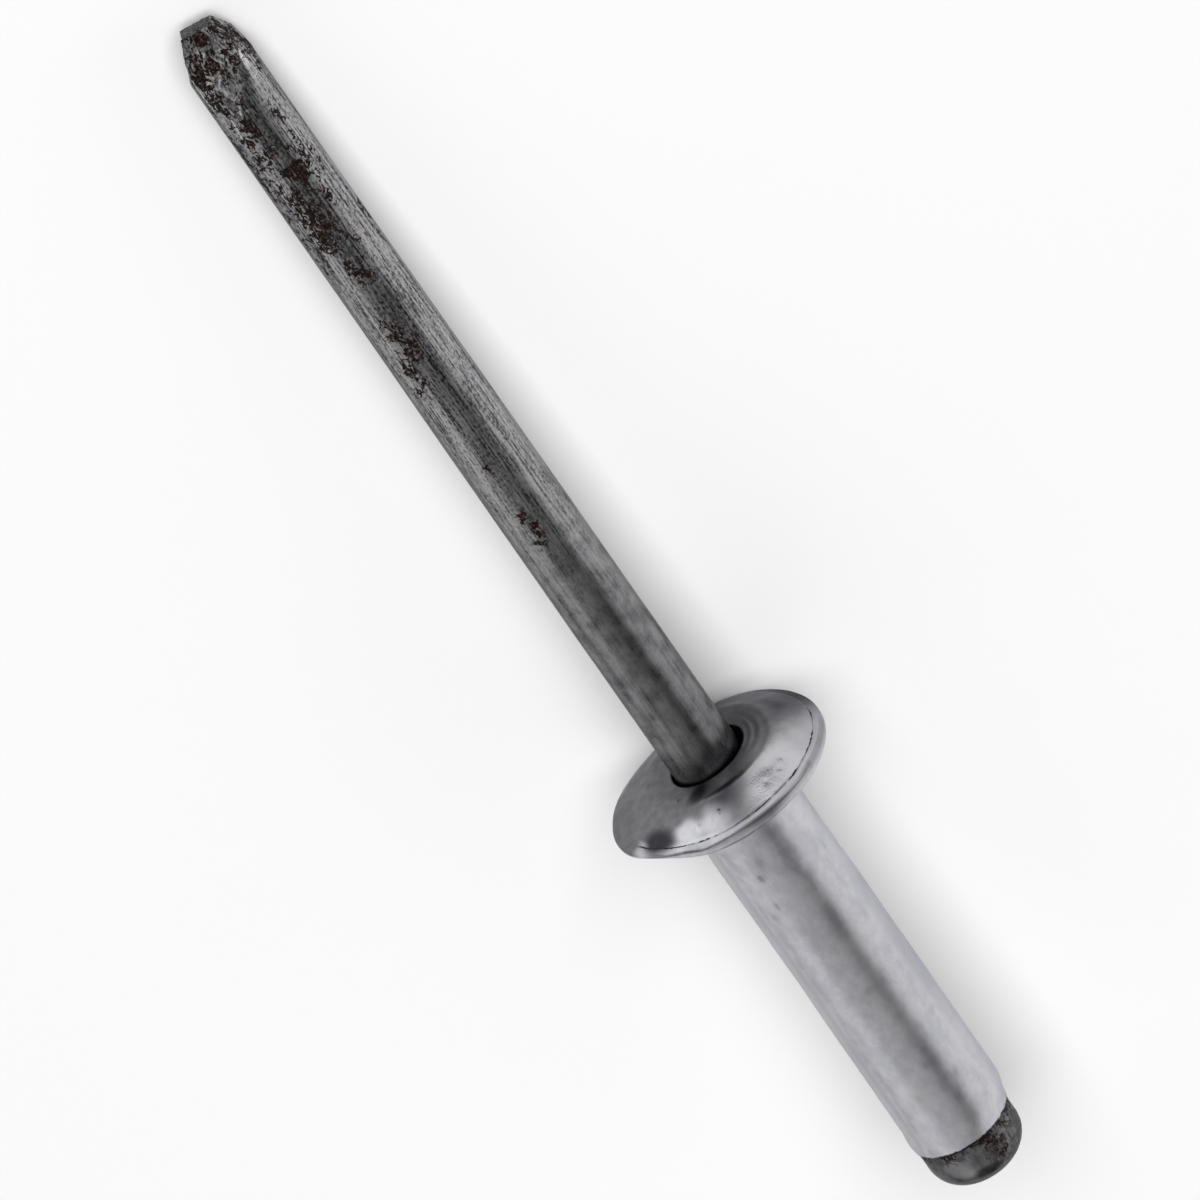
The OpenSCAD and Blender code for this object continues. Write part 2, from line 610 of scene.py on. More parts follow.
@dataclass(frozen=True)
class DrawnSteel:
    """Drawn steel wire with fine lines along it, brown rust, clean bright patches partly
    painted as highlights, and painted dark reflections.
    """

    bright: Colour = (0.50, 0.495, 0.505)
    dim: Colour = (0.050, 0.050, 0.054)
    # clean steel on burrs, scoured patches partly painted as highlights, and painted light
    # by the hole's mouth
    bare_and_painted_light: Colour = (0.86, 0.85, 0.87)
    edge_tint: Colour = (0.45, 0.45, 0.45)
    rust_dark: Colour = (0.007, 0.004, 0.0035)
    rust_warm: Colour = (0.047, 0.026, 0.020)
    roughness: tuple[float, float] = (0.22, 0.40)
    rust_roughness: float = 0.45
    gloss: float = 0.25
    mid_tone: float = 0.49
    relief_mm: float = 0.011

    def tone(
        self, bench: NodeBench, grit: Socket, clouds: Socket, lively: Socket
    ) -> Socket:
        """Lays out the steel's lights and darks.

        Args:
            bench: The material's bench.
            grit: Noise for its grit.
            clouds: Noise for its slow changes, where it is calm.
            lively: Where the drawn lines show.

        Returns:
            The tone, about mid_tone.
        """
        lines = bench.noise(0.048, 2.2, 45.0, 0.6)
        broad = bench.noise(0.22, 3.0, 5.0)
        tone = bench.weigh((lines, 0.52), (broad, 0.10), (grit, 0.38))
        swing = bench.times(bench.less(tone, self.mid_tone), lively)
        drift = bench.times(bench.less(clouds, 0.5), bench.layer("calm"))
        return bench.add(bench.add(swing, bench.times(drift, 0.26)), self.mid_tone)

    def rust(self, bench: NodeBench, clouds: Socket, flecks: Socket) -> Socket:
        """Lays out the rust: along curls, and solid where its layer is strong.

        Args:
            bench: The material's bench.
            clouds: Noise that thins the rust.
            flecks: Noise that breaks it up.

        Returns:
            The share of rust, from 0 to 1.
        """
        curls = bench.noise(0.30, 3.0, 1.2, 0.60, 0.5)
        ridge = bench.times(bench.work_out(Sum.SIZE, bench.less(curls, 0.5)), 2.0)
        thinned = bench.span(clouds, (0.32, 0.60), (0.1, 1.2))
        spread = bench.times(bench.layer("rust"), thinned)
        eaten = bench.less(bench.times(spread, 0.27), ridge)
        eaten = bench.less(eaten, bench.span(flecks, (0.58, 0.64), (0.0, 0.50)))
        sharp = bench.span(bench.layer("calm"), (0.3, 0.85), (1.0, 0.10))
        rust = bench.span(bench.times(eaten, sharp), (-0.01, 0.02))
        return bench.times(rust, bench.span(spread, (0.06, 0.16)))

    def material(self, axes: RivetAxes) -> bpy.types.Material:
        """Makes the material.

        Args:
            axes: The rivet's axes.

        Returns:
            The material.
        """
        bench = NodeBench("drawn_steel", axes)
        grit = bench.noise(0.062, 1.5, 1.8, 0.6)
        clouds = bench.noise(0.40, 2.0, 1.3)
        flecks = bench.noise(0.085, 1.5, 1.8, 0.5, 0.6)
        fine = bench.noise(0.08, 1.5)
        lively = bench.span(bench.layer("calm"), (0.0, 1.0), (1.0, 0.0))
        tone = self.tone(bench, grit, clouds, lively)
        rust = self.rust(bench, clouds, flecks)
        steel = bench.blend(bench.span(tone, (0.37, 0.61)), self.dim, self.bright)
        # the steel darkens with rust, and with painted dark reflection
        rust_and_painted_dark = bench.add(bench.times(bench.layer("rust"), 0.12), bench.layer("darkening_and_painted_reflection"))
        rust_and_painted_dark = bench.span(rust_and_painted_dark, (0.0, 1.0), (0.0, 0.75))
        steel = bench.blend(rust_and_painted_dark, steel, self.dim)
        gritty = bench.times(bench.less(grit, 0.5), lively)
        # brighter steel: clean on burrs, painted highlights and painted light by the hole
        rubbed_and_painted_light = bench.add(bench.layer("bare_and_painted_light"), bench.times(gritty, 1.2))
        rubbed_and_painted_light = bench.times(rubbed_and_painted_light, bench.span(bench.layer("bare_and_painted_light"), (0.0, 0.25)))
        rubbed_and_painted_light = bench.span(rubbed_and_painted_light, (0.05, 1.0), (0.0, 0.9))
        steel = bench.blend(rubbed_and_painted_light, steel, self.bare_and_painted_light)
        brown = bench.span(fine, (0.48, 0.70))
        brown = bench.blend(brown, self.rust_dark, self.rust_warm)
        metal = bench.span(rust, (0.2, 0.9), (1.0, 0.0))
        smooth = bench.span(tone, (0.35, 0.65), self.roughness)
        rough = bench.add(smooth, bench.times(rust, self.rust_roughness))
        bench.dress(bench.blend(rust, steel, brown), metal, rough, self.edge_tint)
        bench.shader.inputs["Specular IOR Level"].default_value = self.gloss
        pitted = bench.times(bench.layer("rust"), bench.times(flecks, 1.6))
        height = bench.add(bench.weigh((tone, 0.8), (rust, 0.5)), pitted)
        bench.relief(height, self.relief_mm)
        return bench.material


@dataclass(frozen=True)
class PlainFloor:
    """Matt pale paper."""

    colour: Colour = (0.86, 0.86, 0.86)
    roughness: float = 0.9

    def material(self) -> bpy.types.Material:
        """Returns the floor's material."""
        paper = bpy.data.materials.new("pale_paper")
        paper.use_nodes = True
        shader = paper.node_tree.nodes["Principled BSDF"]
        shader.inputs["Base Color"].default_value = (*self.colour, 1.0)
        shader.inputs["Roughness"].default_value = self.roughness
        shader.inputs["Specular IOR Level"].default_value = 0.0
        return paper


# --------------------------------------------------------------------------
# Marks and spots of painted light on the pieces, and what both pieces share
# --------------------------------------------------------------------------


@dataclass(frozen=True)
class Dent:
    """A round hollow in the flange's top, which may be darker."""

    radius: float
    degrees: float
    reach: float
    depth: float
    stain: float = 0.0

    def share(self, still: Skin, front: float) -> np.ndarray:
        """Says how deep in the dent each point lies.

        Args:
            still: The undeformed skin.
            front: The turn of the rivet's front.

        Returns:
            From 0, away from it or from the flange's top, to 1 in its middle.
        """
        turn = math.radians(front + self.degrees)
        spot = self.radius * np.array([math.cos(turn), math.sin(turn)])
        away = np.linalg.norm(still.points()[..., :2] - spot, axis=-1)
        below = 9.0 * ease(still.along, 0.42, 0.30)
        return np.exp(-((away / self.reach + below) ** 2))


@dataclass(frozen=True)
class Spot:
    """A spot of painted light on the flange's top: brighter as a painted highlight, darker
    as a painted dark reflection.
    """

    radius: float
    degrees: float
    reach: float
    spread: float
    strength: float = 1.0

    def off(self, still: Skin, turn: np.ndarray) -> np.ndarray:
        """Says how far each point lies from the spot's middle.

        Args:
            still: The undeformed skin.
            turn: Each point's turn from the rivet's front.

        Returns:
            The distance, over the spot's reach and spread.
        """
        across = np.radians(turn_gap(turn, self.degrees)) * self.radius
        return np.hypot((still.radius - self.radius) / self.reach, across / self.spread)


@dataclass(frozen=True)
class Patch:
    """A patch of rust, a scoured patch partly painted as a highlight, or a smudge on a
    round piece.
    """

    along: float
    degrees: float
    length: float
    width: float
    strength: float

    def share(self, still: Skin, radius: float) -> np.ndarray:
        """Says how strong the patch is at each point.

        Args:
            still: The undeformed skin.
            radius: The piece's radius there.

        Returns:
            From 0, away from it, to its strength.
        """
        across = np.radians(turn_gap(still.turn, self.degrees)) * radius
        near = ((still.along - self.along) / self.length) ** 2
        return self.strength * np.exp(-near - (across / self.width) ** 2)


@dataclass(frozen=True)
class Burr:
    """A short raised ridge on the mandrel."""

    along: float
    degrees: float
    length: float
    width: float
    slant: float
    height: float

    def share(self, skin: Skin, radius: float) -> np.ndarray:
        """Says how high the ridge is at each point.

        Args:
            skin: The skin that carries it.
            radius: The wire's radius.

        Returns:
            From 0, away from it, to 1, on its top.
        """
        run = skin.along - self.along
        across = np.radians(turn_gap(skin.turn, self.degrees)) * radius
        slant = math.radians(self.slant)
        lengthwise = run * math.cos(slant) + across * math.sin(slant)
        sideways = across * math.cos(slant) - run * math.sin(slant)
        return np.exp(-((lengthwise / self.length) ** 2) - (sideways / self.width) ** 2)


@dataclass
class RivetPiece:
    """What the sleeve and the mandrel share."""

    axes: RivetAxes
    body_length: float = 12.6
    head_lean: float = -0.012

    def turn(self, skin: Skin) -> np.ndarray:
        """Returns each point's signed turn from the rivet's front."""
        return turn_gap(skin.turn, self.axes.front)

    def sideways(self, amount: np.ndarray) -> np.ndarray:
        """Turns an amount at each point into a shift across the front.

        Args:
            amount: How far each point moves to the right, in millimetres.

        Returns:
            The shift as (up, side, along).
        """
        front = math.radians(self.axes.front)
        return amount[..., None] * np.array([-math.sin(front), math.cos(front), 0.0])


# --------------------------------------------------------------------------
# The sleeve and its flange
# --------------------------------------------------------------------------


@dataclass
class FlangedSleeve(RivetPiece):
    """The aluminium sleeve with its domed flange, cold-formed as one piece."""

    finish: SatinAluminium = SatinAluminium()
    segments: int = 384
    sharp_degrees: float = 50.0
    # the sleeve, and its thin end that wraps the mandrel's head
    body_radius: float = 1.55
    bore_radius: float = 1.08
    seat_fillet: float = 0.06
    rim_reach: float = 0.24
    rim_outer: float = 1.490
    rim_inner: float = 1.445
    taper: float = 0.75
    # the flange: lip, crease inside it, dome, crown and the hole's mouth
    lip_centre: float = 3.07
    lip_round: float = 0.19
    lip_height: float = 0.48
    crease_radius: float = 3.02
    flange_height: float = 1.04
    crown_radius: float = 1.86
    brow_round: float = 0.35
    slopes: tuple[float, float] = (27.0, 30.0)
    mouth_radius: float = 1.19
    mouth_depth: float = 0.22
    mouth_round: float = 0.03
    # how the flange is out of true
    left_dome: float = 2.276
    left_start: float = 1.5
    right_reach: float = 0.23
    crown_lean: float = 0.055
    lip_fall: tuple[float, float] = (0.58, 0.25)
    far_right_rise: float = 0.18
    far_left_rise: float = 0.11
    left_width: float = 0.07
    lip_lean: float = 0.035
    lip_bend: float = 0.29
    # how far to the right the sleeve, its middle, its end and the mouth lie
    body_offset: float = 0.055
    body_bow: float = 0.035
    end_offset: float = 0.015
    mouth_offset: float = 0.055
    # what forming left in the flange's top, and its spots of painted light
    crease_middle: float = 3.03
    crease_width: float = 0.04
    crease_depths: tuple[float, float] = (0.026, 0.022)
    ring_radius: float = 1.55
    ring_pitch: float = 0.26
    ring_depth: float = 0.012
    # painted highlights: gaps in the dome's painted dark reflection
    painted_highlight_spots: tuple[Spot, ...] = (
        Spot(2.62, -15.0, 0.46, 0.56, 1.0),
        Spot(2.68, -35.0, 0.36, 0.44, 0.86),
    )
    # painted dark reflections: the mandrel's beside the hole, and one on the dome's left
    painted_dark_spots: tuple[Spot, ...] = (
        Spot(2.88, -56.5, 0.40, 0.62),
        Spot(1.56, -29.0, 0.40, 0.30),
    )
    smudges: tuple[Patch, ...] = (
        Patch(-7.0, 10.0, 0.16, 0.23, 0.53),
        Patch(-2.8, 62.0, 0.45, 0.16, 0.50),
        Patch(-10.7, 36.0, 0.33, 0.29, 0.43),
        Patch(-3.2, 8.0, 0.36, 0.18, 0.53),
        Patch(-1.85, -10.0, 0.52, 0.26, 0.53),
        Patch(-3.75, -28.0, 0.60, 0.22, 0.38),
        Patch(-2.30, -16.0, 0.26, 0.13, 0.55),
        Patch(-2.75, -36.0, 0.30, 0.12, 0.42),
        Patch(-3.30, -20.0, 0.24, 0.10, 0.45),
        Patch(-4.35, -24.0, 0.40, 0.14, 0.34),
        Patch(-3.55, -40.0, 0.45, 0.12, 0.40),
        Patch(-10.85, -16.0, 0.39, 0.29, 0.45),
        Patch(-5.2, 54.0, 0.65, 0.39, 0.28),
        Patch(-9.9, 12.0, 0.18, 0.21, 0.39),
        Patch(-8.3, -30.0, 0.78, 0.18, 0.28),
        Patch(-6.0, 150.0, 0.78, 0.39, 0.43),
        Patch(-9.0, -120.0, 1.04, 0.33, 0.43),
    )
    dents: tuple[Dent, ...] = (
        Dent(1.62, -52.0, 0.13, 0.016, 0.55),
        Dent(1.95, -42.0, 0.10, 0.012, 0.50),
        Dent(2.38, -57.0, 0.16, 0.014, 0.30),
        Dent(2.30, -70.0, 0.12, 0.014, 0.25),
        Dent(2.15, 60.0, 0.10, 0.016),
        Dent(2.4, 68.0, 0.08, 0.014),
        Dent(2.5, 40.0, 0.11, 0.006),
        Dent(2.66, 33.0, 0.09, 0.005),
        Dent(2.60, 21.0, 0.10, 0.007),
        Dent(2.35, 30.0, 0.20, 0.006),
        Dent(2.75, 52.0, 0.16, 0.006),
        Dent(2.45, -14.0, 0.08, 0.020),
        Dent(2.62, -29.0, 0.09, 0.020),
        Dent(2.92, -55.0, 0.24, 0.045),
        Dent(2.2, -60.0, 0.30, 0.012),
    )

    def profile(self) -> np.ndarray:
        """Draws the section from the hole's mouth round to the bore.

        Returns:
            The points, as (radius, along).
        """
        first, last = map(math.radians, self.slopes)
        dome_start = self.crown_radius + self.brow_round * math.sin(first)
        brow_drop = self.brow_round * (1.0 - math.cos(first))
        dome = (self.crease_radius - dome_start) / (math.sin(last) - math.sin(first))
        dome_centre = (
            dome_start - dome * math.sin(first),
            self.flange_height - brow_drop - dome * math.cos(first),
        )
        steep = (90.0 - self.slopes[0], 90.0 - self.slopes[1])
        mouth_floor = (self.bore_radius, self.flange_height - self.mouth_depth)
        shape = Profile([mouth_floor])
        mouth_edge = self.flange_height - self.mouth_round
        shape.line((self.mouth_radius - self.mouth_round, mouth_edge), 0.05)
        mouth = (self.mouth_radius, mouth_edge)
        shape.arc(mouth, self.mouth_round, (180.0, 90.0), 0.012)
        shape.line((self.crown_radius, self.flange_height), 0.035)
        brow = (self.crown_radius, self.flange_height - self.brow_round)
        shape.arc(brow, self.brow_round, (90.0, steep[0]), 0.03)
        shape.arc(dome_centre, dome, steep, 0.022)
        upper_lip = (self.lip_centre, self.lip_height - self.lip_round)
        shape.arc(upper_lip, self.lip_round, (98.0, 0.0), 0.024)
        lower_lip = (self.lip_centre, self.lip_round)
        shape.arc(lower_lip, self.lip_round, (0.0, -90.0), 0.03)
        neck = self.body_radius + self.seat_fillet
        shape.line((neck, 0.0), 0.12)
        shape.arc((neck, -self.seat_fillet), self.seat_fillet, (90.0, 180.0), 0.03)
        rim_end = self.body_length + self.rim_reach
        taper_start = rim_end - self.taper
        shape.line((self.body_radius, -taper_start), 0.115)
        drop = self.body_radius - self.rim_outer
        bend = (drop**2 + self.taper**2) / (2.0 * drop)
        swung = math.degrees(math.asin(self.taper / bend))
        shape.arc((self.body_radius - bend, -taper_start), bend, (0.0, -swung), 0.05)
        rounding = 0.02
        shape.line((self.rim_outer - rounding, -rim_end - rounding), 0.02)
        shape.line((self.rim_inner, -rim_end + rounding / 2.0), 0.02)
        shape.line((self.rim_inner, -self.body_length), 0.06)
        shape.line((self.bore_radius, -self.body_length), 0.06)
        shape.line(mouth_floor, 0.7)
        return np.array(shape.points[:-1])

    def depth_run(self, still: Skin) -> np.ndarray:
        """Measures each point from a slanting plane that cuts the flange's top.

        Args:
            still: The undeformed skin.

        Returns:
            Millimetres, more to the front and less towards the crown.
        """
        front = still.radius * np.cos(np.radians(self.turn(still)))
        return front - 1.79 * (still.along - 0.75)

    def wear_and_painted_reflection_share(self, still: Skin) -> np.ndarray:
        """Says where dark reflection is painted on the metal, and where the sleeve carries
        smudges.

        Args:
            still: The undeformed skin.

        Returns:
            From 0, none, to 1, fully darkened.
        """
        turn = self.turn(still)
        points = still.points()
        # painted dark reflection: on the crown, the dome's far right and left, and the lip
        dome = ease(still.along, 0.46, 0.56) * ease(still.radius, 3.2, 3.05)
        top = ease(still.along, 0.10, 0.25)
        crown = ease(still.radius, 2.10, 1.98)
        far_right = ease(self.depth_run(still), 1.60, 0.0) * ease(turn, 11.5, 34.4)
        slight = 0.40 * ease(turn, 5.7, 25.8) + 0.15 * ease(turn, 40.1, 57.3)
        far_right = slight + (1.0 - slight) * far_right
        on_lip = ease(still.along, 0.47, 0.44) * ease(turn, -17.2, 5.7)
        on_lip = on_lip * (0.50 + 0.20 * ease(turn, 22.9, 57.3))
        far_right = np.maximum(far_right, on_lip)
        far_left = ease(turn, -62.0, -76.0)
        left = ease(turn, 1.7 + 17.2 * crown, -9.2 - 22.9 * crown)
        ragged = 0.16 * lumps(points, 0.30, Seed.BRIGHT_EDGE)
        # painted highlights taken out of the painted dark reflection
        for spot in self.painted_highlight_spots:
            bright = ease(spot.off(still, turn) + ragged, 1.45, 0.30)
            left = left * (1.0 - spot.strength * bright)
        crown = crown * (1.0 - 0.85 * bell(turn, 0.0, 40.1))
        on_dome = dome * np.maximum(crown, left)
        share = np.maximum(on_dome, top * np.maximum(far_right, far_left))
        # painted dark reflection along the sleeve's edges
        low_edge = 0.33 * ease(turn, -51.6, -60.7) + 0.13 * bell(turn, -62.5, 5.7)
        high_edge = 0.24 + 0.16 * bell(still.along, -7.0, 3.2)
        edges = np.maximum(low_edge, high_edge * ease(turn, 37.8, 57.3))
        edges = edges * ease(np.abs(turn), 149.0, 103.1)
        outer = still.radius > self.mouth_radius + 0.1
        share = np.maximum(share, ease(still.along, 0.0, -0.2) * outer * edges)
        # the sleeve's smudges are its own, not painted light
        scratchy = 0.9 + 0.7 * lumps(points * [1.0, 1.0, 0.7], 0.16, Seed.SMUDGES)
        for smudge in self.smudges:
            share = np.maximum(share, scratchy * smudge.share(still, self.body_radius))
        return share

    def darkening_and_painted_reflection_share(self, still: Skin) -> np.ndarray:
        """Says where dark reflection is painted: on the flange and down the sleeve's
        front.

        Args:
            still: The undeformed skin.

        Returns:
            From 0, none, to 1, darkest.
        """
        turn = self.turn(still)
        # painted dark reflection on the crown and the dome's far right
        crown = 0.16 * ease(still.radius, 2.10, 1.98) * ease(turn, 34.4, 68.8)
        far_right = 0.98 * ease(self.depth_run(still), 0.75, -0.55)
        far_right = far_right * ease(turn, 11.5, 34.4) * ease(turn, 152.0, 118.0)
        far_right = far_right * (1.0 - 0.60 * ease(still.radius, 2.45, 2.0))
        behind = np.where(turn < 0.0, ease(turn, -160.0, -120.0), 1.0)
        sides = np.maximum(crown, far_right) * behind
        ragged = lumps(still.points(), 0.4, Seed.DARK_EDGE)
        # painted reflection of the mandrel across the crown
        narrow = 22.9 - 11.5 * ease(still.radius, 1.9, 2.8)
        mandrel_reflection = bell(turn + 2.9 * ragged, -1.7, narrow)
        mandrel_reflection = mandrel_reflection * ease(still.radius, 1.72, 1.90) * ease(still.radius, 3.06, 2.96)
        mandrel_reflection = mandrel_reflection * (0.96 - 0.34 * ease(still.radius, 2.05, 3.0))
        painted_reflections = np.maximum(sides, mandrel_reflection)
        # spots of painted dark reflection
        for painted_dark_spot in self.painted_dark_spots:
            off = painted_dark_spot.off(still, turn) + 0.1 * ragged
            painted_reflections = np.maximum(painted_reflections, painted_dark_spot.strength * ease(off, 1.35, 0.45))
        # a painted dark band of reflection down the sleeve's front
        band = 0.18 * ease(turn, -34.4, -18.3) * ease(turn, 20.6, 9.2)
        band = band * ease(still.along, -3.0, -5.0) * (still.radius > self.rim_inner)
        return np.maximum(ease(still.along, 0.10, 0.25) * painted_reflections, band)

    def painted_shade_and_darkening_share(self, still: Skin) -> np.ndarray:
        """Says where the metal is darker: painted shade in the hole's mouth, and darker in
        the crease, some dents and at the rim.

        Args:
            still: The undeformed skin.

        Returns:
            From 0, as it is, to 1, darkest.
        """
        turn = self.turn(still)
        patchy = 0.40 + 0.55 * lumps(still.points(), 0.35, Seed.CREASE_DARKENING)
        patchy += 0.80 * bell(turn, -50.0, 21.8)
        patchy += 0.30 * bell(turn, 58.0, 20.1)
        patchy *= ease(turn, -86.0, -66.0) * ease(turn, 104.0, 84.0)
        crease = bell(still.radius, self.crease_middle, self.crease_width)
        crease = crease * ease(still.along, 0.36, 0.42)
        # painted shade in the hole's mouth
        hole = ease(still.radius, self.mouth_radius - 0.01, self.mouth_radius - 0.06)
        before_rim = still.along + self.body_length + self.rim_reach
        share = crease * patchy + hole + 0.9 * ease(before_rim, 0.10, 0.02)
        for dent in self.dents:
            share = share + dent.stain * dent.share(still, self.axes.front)
        return np.clip(share, 0.0, 1.0)

    def crease_share(self, turn: np.ndarray) -> np.ndarray:
        """Says how clearly the crease inside the lip shows at each turn.

        Args:
            turn: The turn from the rivet's front.

        Returns:
            From 0, none, to 1, clear.
        """
        right = ease(turn, 26.0, 46.0) * ease(turn, 104.0, 84.0)
        left = ease(turn, -22.0, -38.0) * ease(turn, -86.0, -66.0)
        return np.maximum(np.maximum(right, left), 0.40 * bell(turn, 0.0, 48.0))

    def left_share(self, turn: np.ndarray) -> np.ndarray:
        """Returns where the dome is one round sweep, without the crown's edge."""
        return ease(turn, -8.0, -42.0) * ease(turn, -175.0, -130.0)

    def press_marks(self, still: Skin) -> np.ndarray:
        """Works out the small relief: ripples, dents, the crease and the rings.

        Args:
            still: The undeformed skin.

        Returns:
            The height of each point, in millimetres.
        """
        turn, points = self.turn(still), still.points()
        on_top = ease(still.along, 0.30, 0.42)
        height = 0.010 * lumps(points, 1.3, Seed.WAVES)
        height += 0.005 * lumps(points, 0.45, Seed.RIPPLES)
        height += on_top * 0.010 * lumps(points, 0.7, Seed.FLANGE_TOP)
        for dent in self.dents:
            height -= dent.depth * dent.share(still, self.axes.front)
        worked = 1.3 * bell(turn, -50.0, 22.9) + 0.5 * bell(turn, 60.0, 22.9)
        pits = ease(lumps(points, 0.22, Seed.CREASE_PITS), 0.35, 0.8)
        depth = self.crease_depths[0] * worked + self.crease_depths[1] * pits
        crease = bell(still.radius, self.crease_middle, self.crease_width) * on_top
        height -= crease * self.crease_share(turn) * depth
        out = still.radius - self.ring_radius
        rings = np.cos(out * (2.0 * math.pi / self.ring_pitch)) * bell(out, 0.0, 0.28)
        height += on_top * self.ring_depth * rings * bell(turn, 75.0, 31.5)
        height[still.radius < self.mouth_radius - 0.04] = 0.0
        return height

    def shape_crown(self, skin: Skin, still: Skin) -> None:
        """Sweeps the dome on the left, and widens and tilts the crown.

        Args:
            skin: The skin that is shaped.
            still: The undeformed skin.
        """
        turn = self.turn(still)
        on_top = ease(still.along, 0.30, 0.42)
        run = np.clip(still.radius - self.left_start, 0.0, 1.6)
        sweep = self.flange_height - self.left_dome
        sweep = sweep + np.sqrt(self.left_dome**2 - run**2)
        on_dome = (still.radius > 1.25) & (still.radius < self.crease_radius)
        on_dome &= still.along > 0.44
        lowered = self.left_share(turn) * (sweep - still.along)
        skin.along = skin.along + np.where(on_dome, lowered, 0.0)
        inner = ease(still.radius, 1.35, 2.0)
        outer = np.clip(3.0 - still.radius, 0.0, 1.0)
        wide = bell(turn, 48.0, 32.0) * np.where(still.radius < 2.0, inner, outer)
        skin.radius = skin.radius + self.right_reach * wide * on_top
        crown = on_top * ease(still.along, 0.45, 0.9)
        across = skin.radius * np.sin(np.radians(turn))
        skin.along = skin.along + self.crown_lean * crown * across

    def bend_lip(self, skin: Skin, still: Skin) -> None:
        """Bends the lip: down past the crease, up at the far sides and the left.

        Args:
            skin: The skin that is shaped.
            still: The undeformed skin.
        """
        turn, along = self.turn(still), still.along
        past = still.radius - self.crease_radius
        steep = self.lip_fall[0] + self.lip_fall[1] * self.left_share(turn)
        fall = self.lip_height - 0.022 - past * steep
        soft = 0.015
        low = -soft * np.logaddexp(-along / soft, -fall / soft)
        smooth = (1.0 - self.crease_share(turn)) * (low - along)
        skin.along = skin.along + np.where((past > 0.0) & (along > 0.15), smooth, 0.0)
        rim = ease(along, 0.0, 0.3) * ease(still.radius, 2.2, 3.05)
        rise = self.far_right_rise * bell(turn_gap(turn, 155.0), 0.0, 37.8)
        rise += self.far_left_rise * bell(turn, -118.0, 25.8)
        skin.along = skin.along + rise * rim
        widened = ease(still.radius, 2.9, 3.2) * bell(turn, -92.0, 18.3)
        skin.radius = skin.radius + self.left_width * widened
        lip = bell(along, 0.42, 0.12) * ease(skin.radius, 2.95, 3.08)
        skin.along = skin.along - self.lip_lean * lip * np.sin(np.radians(turn))
        under = ease(along, 0.46, 0.0) * ease(skin.radius, 2.55, 3.2)
        skin.along = skin.along + self.lip_bend * under * bell(turn, -55.0, 21.0)

    def offset(self, still: Skin) -> np.ndarray:
        """Says how far to the right of the mandrel's axis each point is moved.

        Args:
            still: The undeformed skin.

        Returns:
            The offset, in millimetres.
        """
        along = still.along
        bow = self.body_offset + self.body_bow * bell(along, -6.0, 4.0)
        bow = bow + self.end_offset * ease(along, -7.0, -12.6)
        bow = ease(along, 0.3, -0.6) * bow
        wrapped = ease(along, 0.5 - self.body_length, -0.1 - self.body_length)
        bow = bow + wrapped * (self.head_lean - bow)
        mouth = ease(still.radius, 1.6, 1.25) * ease(along, 0.55, 0.85)
        return bow + self.mouth_offset * mouth

    def build(self) -> bpy.types.Object:
        """Builds the piece and dresses it.

        Returns:
            The finished object.
        """
        still = Skin(self.profile(), self.segments, closed=True)
        skin = replace(still)
        skin.swell(self.press_marks(still))
        self.shape_crown(skin, still)
        self.bend_lip(skin, still)
        shift = self.sideways(self.offset(still))
        sleeve = skin.mesh("sleeve_and_flange", self.axes, shift, self.sharp_degrees)
        polish = ease(still.along, 0.40, 0.46) * ease(still.radius, 3.05, 2.95)
        scuff = bell(still.along, -2.2, 1.7) * bell(self.turn(still), -35.0, 25.8)
        # layers of painted light: dark reflection and shade in the hole, with the sleeve's
        # smudges and the darker crease, dents and rim
        skin.attach(sleeve, "wear_and_painted_reflection", self.wear_and_painted_reflection_share(still))
        skin.attach(sleeve, "painted_shade_and_darkening", self.painted_shade_and_darkening_share(still))
        skin.attach(sleeve, "darkening_and_painted_reflection", self.darkening_and_painted_reflection_share(still))
        skin.attach(sleeve, "polish", polish * ease(still.radius, 1.80, 2.05))
        skin.attach(sleeve, "scuff", scuff)
        sleeve.data.materials.append(self.finish.material(self.axes))
        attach(sleeve, "root")
        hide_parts("rivet_body")
        return sleeve


# --------------------------------------------------------------------------
# The mandrel
# --------------------------------------------------------------------------


